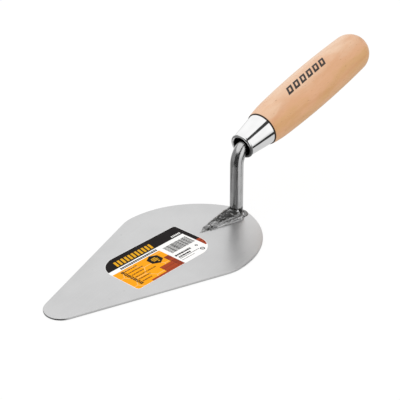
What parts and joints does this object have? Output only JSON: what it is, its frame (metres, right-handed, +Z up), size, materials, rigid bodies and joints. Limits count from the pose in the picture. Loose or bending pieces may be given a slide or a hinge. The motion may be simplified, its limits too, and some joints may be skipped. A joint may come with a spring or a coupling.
{
  "type": "brick trowel",
  "caption": "Pointed brick trowel: flat steel blade with round shoulders, cranked round shank welded on by a wedge foot, bright tapered ferrule and turned wooden handle.",
  "frame": {"origin": "on the blade's underside, straight below the upright part of the shank", "axes": "+Z up, away from the blade's flat underside; +X along the blade from its tip towards the handle; +Y to the left of someone who looks along +X"},
  "size_m": [0.3143, 0.0992, 0.0992],
  "materials": {
    "blade_steel": "fine ground sheet steel, light grey, satin",
    "shank_steel": "ground round bar, satin, darker forged scale on the foot",
    "weld_metal": "rippled weld bead, part bright, part dark",
    "ferrule_plating": "bright plated drawn steel tube",
    "handle_wood": "beech with fine short flecks, clear satin varnish",
    "label_film": "printed paper label under clear film"
  },
  "bodies": {
    "root": {"blade": "blade_steel", "shank": "shank_steel", "weld_left": "weld_metal", "weld_right": "weld_metal", "weld_toe": "weld_metal", "weld_heel": "weld_metal", "ferrule": "ferrule_plating", "handle": "handle_wood", "label": "label_film"}
  },
  "joints": []
}
